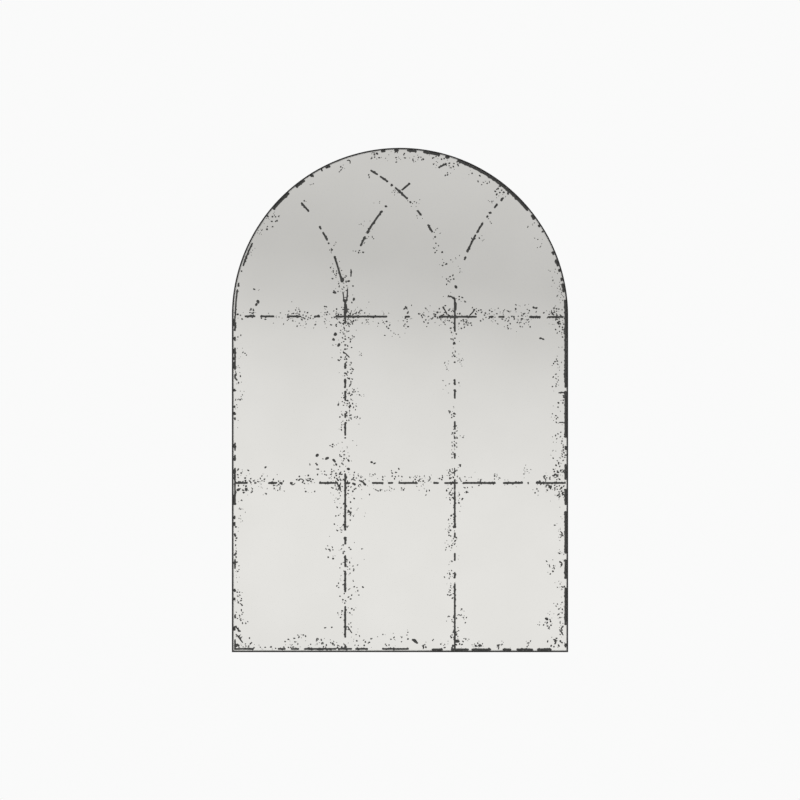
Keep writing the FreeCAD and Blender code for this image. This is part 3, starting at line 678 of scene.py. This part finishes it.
def angle_section():
    """Points round the steel angle, each with its wear, 1 on the rounding of an outside corner.

    A point is how far inward it lies from the frame's outside, and how far forward from its rear face.
    """
    corners = [
        (0, 0, FACE_RADIUS), (0, ANGLE_LEG, FACE_RADIUS),
        (ANGLE_WALL, ANGLE_LEG, TOE_RADIUS), (ANGLE_WALL, ANGLE_WALL, ROOT_RADIUS),
        (ANGLE_LEG, ANGLE_WALL, TOE_RADIUS), (ANGLE_LEG, 0, FACE_RADIUS),
    ]
    points = []
    for before, ((*corner, radius), after) in zip(corners[-1:] + corners, pairs(corners)):
        here = Vector(corner)
        back = (Vector(before[:2]) - here).normalized()
        ahead = (Vector(after[:2]) - here).normalized()
        wear = float(back.cross(ahead) > 0)
        centre = here + (back + ahead) * radius
        points.append((here + back * (radius + EDGE_BAND), 0.0))
        for step in range(CORNER_STEPS + 1):
            turn = math.pi / 2 * step / CORNER_STEPS
            offset = back * math.sin(turn) + ahead * math.cos(turn)
            points.append((centre - offset * radius, wear))
        points.append((here + ahead * (radius + EDGE_BAND), 0.0))
    return points


def rail(name, stations, node, material):
    """The angle swept along stations, each an outer point and the way inward."""
    section = angle_section()
    rings = []
    for outer, inward in stations:
        ring = []
        for point, _ in section:
            place = outer + inward * point.x * MM
            ring.append((place.x, RAIL_REAR - point.y * MM, place.y))
        rings.append(ring)
    mesh = swept_mesh(name, [rings])
    wear = mesh.attributes.new(EDGE_LAYER, "FLOAT", "POINT")
    wear.data.foreach_set("value", [worn for _ in stations for _, worn in section])
    add_piece(mesh, material, node, smooth_angle=40)


BEAD_START = 1.2
BEAD_END = 18.6
BEAD_WIDTH = 4.2
BEAD_RISE = 0.55
BEAD_SINK = 0.1
BEAD_TAPER = 6
BEAD_TIP = 0.25
BEAD_RIPPLES = 13
WIDTH_RIPPLE = 0.14
RISE_RIPPLE = 0.28
BEAD_STEPS = 78
BEAD_ARC = 8


def weld_bead(name, side, material):
    """A rippled bead along the mitre on the rear of the flange, proud of it by half a millimetre."""
    corner = Vector((side * HALF_WIDTH, BOTTOM))
    inward = Vector((-side, 1))
    across = Vector((1, side)).normalized()
    rings = []
    for step in range(BEAD_STEPS + 1):
        share = step / BEAD_STEPS
        trough = 1 - abs(math.sin(math.pi * BEAD_RIPPLES * share))
        taper = min(1, BEAD_TIP + BEAD_TAPER * min(share, 1 - share))
        half = BEAD_WIDTH / 2 * taper * (1 - WIDTH_RIPPLE * trough)
        rise = BEAD_RISE * taper * (1 - RISE_RIPPLE * trough)
        middle = corner + inward * (BEAD_START + (BEAD_END - BEAD_START) * share) * MM
        ring = []
        for turn in range(BEAD_ARC + 1):
            angle = math.pi * turn / BEAD_ARC
            spot = middle + across * half * math.cos(angle) * MM
            ring.append((spot.x, RAIL_REAR + (rise * math.sin(angle) - BEAD_SINK) * MM, spot.y))
        rings.append(ring)
    add_piece(swept_mesh(name, [rings]), material, smooth_angle=50)


def make_frame():
    steel = steel_material()
    left_foot = (Vector((-HALF_WIDTH, BOTTOM)), Vector((1, 1)))
    right_foot = (Vector((HALF_WIDTH, BOTTOM)), Vector((-1, 1)))
    arch = [left_foot]
    for step in range(ARCH_STEPS + 1):
        outward = towards(math.pi * (1 - step / ARCH_STEPS))
        arch.append((Vector((0, SPRINGLINE)) + outward * HALF_WIDTH, -outward))
    rail("arch_rail_formed", arch + [right_foot], "frame_arch_rail", steel)
    rail("bottom_rail_formed", [right_foot, left_foot], "frame_bottom_rail", steel)
    weld = weld_material()
    weld_bead("weld_bead_left", -1, weld)
    weld_bead("weld_bead_right", 1, weld)


# Screws
SCREW_SIDES = 24
SHANK_RADIUS = 1.75 * MM
# Shares of the shank's radius up a screw's point, with the distance from its tip in those radii.
POINT_PROFILE = [(0.15, 0), (0.9, 2.4), (1, 3)]
# Shares of a head's radius and of its rise, up its dome.
HEAD_PROFILE = [(1, 0), (1, 0.22), (0.94, 0.5), (0.8, 0.78), (0.64, 0.95)]
# A cross recess: the length and half width of its arms in head radii, at its mouth and on its floor.
RECESS_MOUTH = (0.5, 0.13)
RECESS_FLOOR = (0.31, 0.0975)
RECESS_FLOOR_RISE = 0.35
ARM_BEND = 0.55
ARM_TIP = 1.06
TIP_WIDTH = 0.9


def cross_loop(length, half):
    """Outline of a cross recess, with as many points as the head's circles."""
    bend = length * ARM_BEND
    tip_half = half * TIP_WIDTH
    arm = [(half, half), (bend, half), (length, tip_half),
           (length * ARM_TIP, 0), (length, -tip_half), (bend, -half)]
    loop = []
    for quarter in range(4):
        along = towards(math.pi / 2 * (quarter + 1))
        sideways = Vector((along.y, -along.x))
        loop += [along * reach + sideways * offset for reach, offset in arm]
    return loop


def screw_loops(head, rise, reach):
    """Loops of a domed cross-head screw, from the recess to the tip: outline, distance behind the seat."""
    circles = [(SHANK_RADIUS * share, up * SHANK_RADIUS - reach) for share, up in POINT_PROFILE]
    circles.append((SHANK_RADIUS, 0))
    circles += [(head * share, rise * up) for share, up in HEAD_PROFILE]
    loops = [(circle_loop(radius, SCREW_SIDES, math.pi / 4), depth) for radius, depth in circles]
    for (length, half), up in ((RECESS_MOUTH, 1), (RECESS_FLOOR, RECESS_FLOOR_RISE)):
        loops.append((cross_loop(head * length, head * half), rise * up))
    return loops[::-1]


def screws(name, node, places, seat, size, material):
    """Screws of one node at places on the rear, each an x and a height, driven from behind."""
    loops = screw_loops(*size)
    solids = [[[(x + point.x, seat + depth, height + point.y) for point in loop] for loop, depth in loops]
              for x, height in places]
    add_piece(swept_mesh(name, solids), material, node, smooth_angle=38)


def row_ends(node, head):
    """Places of a node's two screws: the ends of a row along the longer side of its box."""
    low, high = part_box(node)
    middle = (low + high) / 2
    if high.z - low.z > high.x - low.x:
        return [(middle.x, low.z + head), (middle.x, high.z - head)]
    return [(low.x + head, middle.z), (high.x - head, middle.z)]


def make_board_screws():
    black = black_screw_material()
    low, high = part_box("left_leg_screws")
    head = (high.x - low.x) / 2
    size = (head, high.y - RAIL_REAR, RAIL_REAR - low.y)
    rows = {node: row_ends(node, head) for node in ("left_leg_screws", "right_leg_screws", "bottom_screws")}
    low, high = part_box("head_screws")
    rows["head_screws"] = [(low.x + head, low.z + head), (0, high.z - head), (high.x - head, low.z + head)]
    for node, places in rows.items():
        screws(node.replace("_leg", "") + "_domed", node, places, RAIL_REAR, size, black)


# Hangers
STRAP_THICK = 1.2 * MM
STRAP_EDGE = 0.3 * MM
STRAP_CORNER = 6 * MM
STRAP_CORNER_STEPS = 8
EYE_TURN = 290
EYE_STEPS = 40
EYE_PLAY = 0.25 * MM
WIRE_RADIUS = 1.5 * MM
WIRE_SIDES = 20
RING_CORNER = 4.5 * MM
RING_STEPS = 12


def strap_stations(low, high, pivot):
    """Middle of the sheet, the way out of it and its half width, from the rounded foot round the eye."""
    half = (high.x - low.x) / 2
    plate = low.y + STRAP_THICK / 2
    stations = []
    for step in range(STRAP_CORNER_STEPS + 1):
        angle = math.pi / 2 * step / STRAP_CORNER_STEPS
        foot = low.z + STRAP_CORNER * (1 - math.cos(angle))
        width = half - STRAP_CORNER * (1 - math.sin(angle))
        stations.append((Vector((plate, foot)), Vector((1, 0)), width))
    radius = WIRE_RADIUS + EYE_PLAY + STRAP_THICK / 2
    for step in range(EYE_STEPS + 1):
        outward = towards(math.pi - math.radians(EYE_TURN) * step / EYE_STEPS)
        stations.append((pivot + outward * radius, -outward, half))
    return stations


def strap(name, node, pivot, material):
    """Stamped strap with eased edges, its top curled into the eye for the ring."""
    low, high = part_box(node)
    centre = (low.x + high.x) / 2
    face = STRAP_THICK / 2
    eased = face - STRAP_EDGE
    side_points = [(face, STRAP_EDGE), (eased, 0), (-eased, 0), (-face, STRAP_EDGE)]
    rings = []
    for middle, face_out, half in strap_stations(low, high, pivot):
        ring = []
        for side in (-1, 1):
            for depth, inset in side_points:
                place = middle - face_out * side * depth
                ring.append((centre + side * (half - inset), *place))
        rings.append(ring)
    add_piece(swept_mesh(name, [rings]), material, node, smooth_angle=35)


def ring_path(low, high, pivot):
    """Middle of the wire, from the split in the bar all the way round the D."""
    centre = (low.x + high.x) / 2
    half = (high.x - low.x) / 2 - WIRE_RADIUS
    corner = Vector((half - RING_CORNER, pivot.y - RING_CORNER))
    leg_end = Vector((0, low.z + WIRE_RADIUS + half))
    run = []
    for step in range(RING_STEPS + 1):
        run.append(corner + towards(math.pi / 2 * (1 - step / RING_STEPS)) * RING_CORNER)
    for step in range(2 * RING_STEPS):
        run.append(leg_end + towards(-math.pi / 4 * step / RING_STEPS) * half)
    mirrored = [Vector((-point.x, point.y)) for point in reversed(run)]
    path = run + [leg_end - Vector((0, half))] + mirrored
    return [Vector((centre, 0)) + point for point in path]


def hanging_ring(name, node, body, pivot, material):
    """D-shaped ring of bent wire, closed at its bar inside the eye."""
    path = ring_path(*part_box(node), pivot)
    rings = []
    for before, (point, after) in zip(path[-1:] + path, pairs(path)):
        heading = (after - before).normalized()
        sideways = Vector((heading.y, -heading.x))
        ring = []
        for offset in circle_loop(WIRE_RADIUS, WIRE_SIDES):
            place = point + sideways * offset.x
            ring.append((place.x, pivot.x + offset.y, place.y))
        rings.append(ring)
    add_piece(swept_mesh(name, [rings], closed=True), material, node, body, smooth_angle=60)


def make_hangers():
    sheet = zinc_material("zinc_sheet", (0.52, 0.53, 0.55), (0.66, 0.67, 0.69), (0.29, 0.45), (1, 1, 0.15))
    wire = zinc_material("zinc_drawn_wire", (0.55, 0.56, 0.58), (0.7, 0.71, 0.73), (0.21, 0.37))
    plated = zinc_material("zinc_screw_plating", (0.5, 0.5, 0.48), (0.64, 0.64, 0.61), (0.25, 0.41))
    pivots = {joint["child"]: joint["pos_m"] for joint in frame["joints"]}
    for side in ("left", "right"):
        pivot = Vector(pivots["ring_" + side][1:])
        strap("strap_stamped_" + side, "hanger_strap_" + side, pivot, sheet)
        hanging_ring("ring_bent_" + side, "hanger_ring_" + side, "ring_" + side, pivot, wire)
        node = "hanger_screws_" + side
        low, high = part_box(node)
        head = (high.x - low.x) / 2
        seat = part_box("hanger_strap_" + side)[0].y + STRAP_THICK
        size = (head, high.y - seat, seat - low.y)
        screws("hanger_screws_domed_" + side, node, row_ends(node, head), seat, size, plated)


# Bumpers
BUMPER_FACE = 10 * MM
BUMPER_ROUND = 0.9 * MM
BUMPER_SEGMENTS = 4
SQUARE = [(-1, -1), (1, -1), (1, 1), (-1, 1)]


def bumper(name, node, material):
    """Square moulded bumper, tapered towards the wall, with rounded edges."""
    low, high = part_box(node)
    middle = (low + high) / 2
    solid = bmesh.new()
    ends = []
    for depth, half in ((low.y, (high.x - low.x) / 2), (high.y, BUMPER_FACE / 2)):
        ends.append([solid.verts.new((middle.x + x * half, depth, middle.z + z * half)) for x, z in SQUARE])
        solid.faces.new(ends[-1])
    for (start, end), (far_start, far_end) in zip(*map(pairs, ends)):
        solid.faces.new((start, end, far_end, far_start))
    edges = [edge for edge in solid.edges if max(corner.co.y for corner in edge.verts) > middle.y]
    bmesh.ops.bevel(solid, geom=edges, offset=BUMPER_ROUND, segments=BUMPER_SEGMENTS, profile=0.5,
                    affect="EDGES")
    bmesh.ops.recalc_face_normals(solid, faces=solid.faces)
    mesh = bpy.data.meshes.new(name)
    solid.to_mesh(mesh)
    solid.free()
    add_piece(mesh, material, node, smooth_angle=40)


def make_bumpers():
    rubber = rubber_material()
    for level in ("lower", "upper"):
        for side in ("left", "right"):
            bumper(f"bumper_moulded_{level}_{side}", f"bumper_{level}_{side}", rubber)


# The worn silvering
CORNER_CUT = 0.25
GLASS_BITE = 0.05 * MM
# The triangulation keeps what lies inside an outline, and merges points this close.
KEEP_INSIDE = 1
MERGE_DISTANCE = 0.001


def softened(outline):
    """The outline, counter-clockwise, with its corners cut as the edge of a stain."""
    area = sum(this.cross(following) for this, following in pairs(outline))
    points = []
    for this, following in pairs(outline if area > 0 else outline[::-1]):
        points += [this.lerp(following, CORNER_CUT), following.lerp(this, CORNER_CUT)]
    return points


def worn_layer(name, outlines, proud, material, margin=FLAT_MARGIN):
    """One thin closed skin on the glass, the union of the outlines."""
    points = []
    patches = []
    for outline in outlines:
        edge = softened(outline)
        patches.append(list(range(len(points), len(points) + len(edge))))
        points.extend(kept_in(point, margin) for point in edge)
    merged, _, triangles, _, _, sources = delaunay_2d_cdt(points, [], patches, KEEP_INSIDE, MERGE_DISTANCE)
    kept = [triangle for triangle, source in zip(triangles, sources) if source]
    used = sorted({index for triangle in kept for index in triangle})
    count = len(used)
    vertices = [(merged[index].x * MM, depth, SPRINGLINE + merged[index].y * MM)
                for depth in (GLASS_FRONT - proud, GLASS_FRONT + GLASS_BITE) for index in used]
    place_of = {index: place for place, index in enumerate(used)}
    front = [tuple(place_of[index] for index in triangle) for triangle in kept]
    back = [tuple(place + count for place in reversed(face)) for face in front]
    sides = {side for face in front for side in pairs(face)}
    walls = [(start, start + count, end + count, end)
             for start, end in sorted(sides) if (end, start) not in sides]
    add_piece(new_mesh(name, vertices, front + back + walls), material)


FRAME_MARGIN = 0.1
BORDER_PROUD = 0.16 * MM
LINE_PROUD = 0.14 * MM
SPECK_PROUD = 0.11 * MM
SPOT_SCALE = 1.25
RING_WIDTH = 2.9
RING_HALF_GAP = 30
WEAR_SEED = 1446


def border_rows():
    edge = FRAME_INSIDE - EDGE_WIDTH / 2
    foot = GLASS_FOOT - SEAL_WIDTH
    return [
        (plumb_line(LEFT_INSET - FRAME_INSIDE), LEFT_EDGE_DASHES, LEFT_EDGE_WIDTH),
        (plumb_line(-edge), LEFT_EDGE_LUMPS, EDGE_WIDTH),
        (plumb_line(edge), RIGHT_EDGE_DASHES, EDGE_WIDTH),
        (level_line(foot + FOOT_LEFT_INSET), FOOT_LEFT_DASHES, FOOT_LEFT_WIDTH),
        (level_line(foot + EDGE_WIDTH / 2), FOOT_RIGHT_DASHES, EDGE_WIDTH),
        (circle_line(edge), ARCH_EDGE_DASHES, EDGE_WIDTH),
        (circle_line(FRAME_INSIDE - ARCH_LEFT_INSET), ARCH_LEFT_DASHES, LEFT_EDGE_WIDTH),
    ]


def window_rows():
    return [
        (level_line(SPRING_CROSS, SPRING_SLOPE), SPRING_DASHES, CROSS_WIDTH),
        (level_line(LOWER_CROSS), LOWER_DASHES, CROSS_WIDTH),
        (plumb_line(-UPRIGHT_X), LEFT_UPRIGHT_DASHES, LEFT_UPRIGHT_WIDTH),
        (plumb_line(UPRIGHT_X), RIGHT_UPRIGHT_DASHES, RIGHT_UPRIGHT_WIDTH),
    ]


def tracery_rows():
    return [(tracery_line(foot_x, lean), spans, TRACERY_WIDTH) for foot_x, lean, spans in TRACERY]


def speck_outlines(draw):
    """Outlines of the spots, curls and rings, and of every cluster of specks."""
    outlines = [speck(x, height, size * SPOT_SCALE, draw) for x, height, size in SPOTS]
    for *points, width in CURLS:
        outlines.append(worn_strip(curl_line(*map(Vector, points)), 0, 1, width, draw))
    for x, height, radius, gap in RINGS:
        start = gap + RING_HALF_GAP
        end = gap + 360 - RING_HALF_GAP
        outlines.append(worn_strip(circle_line(radius, (x, height)), start, end, RING_WIDTH, draw))
    kinds = [(COARSE_SPECKS, COARSE_SIZES), (FINE_SPECKS, FINE_SIZES),
             (COMMON_SPECKS, COMMON_SIZES), (DUST, DUST_SIZES)]
    for clusters, sizes in kinds:
        for cluster in clusters:
            outlines += speck_cluster(cluster, sizes)
    return outlines


def make_worn_silvering():
    draw = random.Random(WEAR_SEED)
    worn = worn_material()
    worn_layer("worn_border", dashes(border_rows(), draw), BORDER_PROUD, worn, FRAME_MARGIN - SEAL_WIDTH)
    worn_layer("worn_window_lines", dashes(window_rows(), draw), LINE_PROUD, worn)
    worn_layer("worn_tracery", dashes(tracery_rows(), draw), LINE_PROUD, worn)
    worn_layer("worn_specks", speck_outlines(draw), SPECK_PROUD, worn)


def finish_cad_nodes():
    """Procedural finishes for the CAD nodes that are shown as they are."""
    foam = foam_material()
    finishes = {node: foam for node in frame["nodes"] if node.startswith("tape_strip")}
    finishes |= {
        "mirror_pane": silver_material(), "edge_seal": seal_material(), "backing_board": board_material()}
    for node, material in finishes.items():
        for slot in frame["nodes"][node].material_slots:
            slot.material = material


# Studio
PHOTO_WIDTH = 1.903
LENS = 100
BACKGROUND = (0.955, 0.957, 0.955, 1)


def make_camera():
    """A camera square to the mirror, from where the picture is as wide as the photograph."""
    data = bpy.data.cameras.new("camera")
    data.lens = LENS
    camera = add_object("camera", data)
    camera.location = MIDDLE - Vector((0, PHOTO_WIDTH * LENS / data.sensor_width, 0))
    camera.rotation_euler = (math.pi / 2, 0, 0)
    bpy.context.scene.camera = camera


ROOM_LIGHT = 0.62
# The room that the mirror shows: its brightness by how steeply the line of sight rises.
ROOM_SPAN = 0.6
ROOM_TILT = 0.16
ROOM_TINT = (1.01, 1.0, 0.972)
ROOM_TONES = {
    0.6: 0.8, 0.3: 0.72, 0.1004: 0.636, 0.0882: 0.615, 0.076: 0.594, 0.0598: 0.587, 0.0518: 0.615,
    0.0396: 0.643, 0.0194: 0.733, -0.0009: 0.777, -0.0292: 0.822, -0.0536: 0.843, -0.09: 0.851,
    -0.2: 0.79, -0.36: 0.7, -0.6: 0.66,
}


def background(tree, colour, strength=1):
    return add_node(tree, "Background", {"Color": colour, "Strength": strength})[0]


def make_world():
    """A white backdrop, even light, and a room that is darker above for what is reflected."""
    world = bpy.data.worlds.new("studio")
    bpy.context.scene.world = world
    world.use_nodes = True
    tree = world.node_tree
    tree.nodes.clear()
    heading = add_node(tree, "TexCoord")["Generated"]
    parts = add_node(tree, "SeparateXYZ", {"Vector": heading})
    tilted = combined("MULTIPLY_ADD", parts["X"], ROOM_TILT, parts["Z"])
    tint = Vector(ROOM_TINT)
    tones = {(ROOM_SPAN - slope) / (2 * ROOM_SPAN): tint * tone for slope, tone in ROOM_TONES.items()}
    room = colours(levels(tilted, 0, 1, ROOM_SPAN, -ROOM_SPAN), tones)
    ray = add_node(tree, "LightPath")
    even_light = background(tree, (1, 1, 1, 1), ROOM_LIGHT)
    lit = blend_shaders(ray["Is Glossy Ray"], even_light, background(tree, room))
    seen = blend_shaders(ray["Is Camera Ray"], lit, background(tree, BACKGROUND))
    add_node(tree, "OutputWorld", {"Surface": seen})


FLOOR_LEVEL = -1.9
FLOOR_RADIUS = 3.3
FLOOR_SIDES = 96
FADE_START = 0.9
FADE_RIM = 0.05


def floor_material():
    """Pale floor that clears towards its rim."""
    tones = {0.3: (0.9, 0.9, 0.895), 0.7: (0.93, 0.93, 0.925)}
    material = grained_material("pale_floor", 40, tones, rough=(0.7, 0.85), Specular_IOR_Level=0.2)
    tree = material.node_tree
    place = stretched(add_node(tree, "TexCoord")["Object"], (1, 1, 0))
    distance = add_node(tree, "VectorMath", {0: place}, operation="LENGTH")["Value"]
    fade = levels(distance, 0, 1, FADE_START, FLOOR_RADIUS - FADE_RIM, "SMOOTHSTEP")
    clear = add_node(tree, "BsdfTransparent")[0]
    mixed = blend_shaders(fade, tree.nodes[SHADER].outputs[0], clear)
    fill(tree.nodes["Material Output"], {"Surface": mixed})
    return material


def make_floor():
    """A pale round floor below the mirror, whose rim fades into the backdrop."""
    rim = [(*point, FLOOR_LEVEL) for point in circle_loop(FLOOR_RADIUS, FLOOR_SIDES)]
    floor = add_object("floor", new_mesh("floor", rim, [tuple(range(FLOOR_SIDES))]))
    floor.data.materials.append(floor_material())


# Softboxes: place, size, watts and whether glossy surfaces show it.
LAMPS = {
    "front_left": ((-2.6, -3.4, 1.6), 2.2, 75, False),
    "front_right": ((3.0, -3.0, 0.6), 2.2, 40, False),
    "rear_left": ((-2.4, 3.2, 1.6), 2.0, 70, True),
    "rear_right": ((2.8, 2.8, 0.8), 2.0, 40, True),
}


def make_lights():
    for name, (place, size, watts, shows_in_gloss) in LAMPS.items():
        data = bpy.data.lights.new(name, "AREA")
        data.size = size
        data.energy = watts
        lamp = add_object(name, data)
        lamp.location = place
        lamp.rotation_euler = (MIDDLE - Vector(place)).to_track_quat("-Z", "Y").to_euler()
        lamp.visible_glossy = shows_in_gloss


make_frame()
make_board_screws()
make_hangers()
make_bumpers()
make_worn_silvering()
finish_cad_nodes()
make_floor()
make_world()
make_lights()
make_camera()

bpy.context.scene.view_settings.view_transform = "Standard"
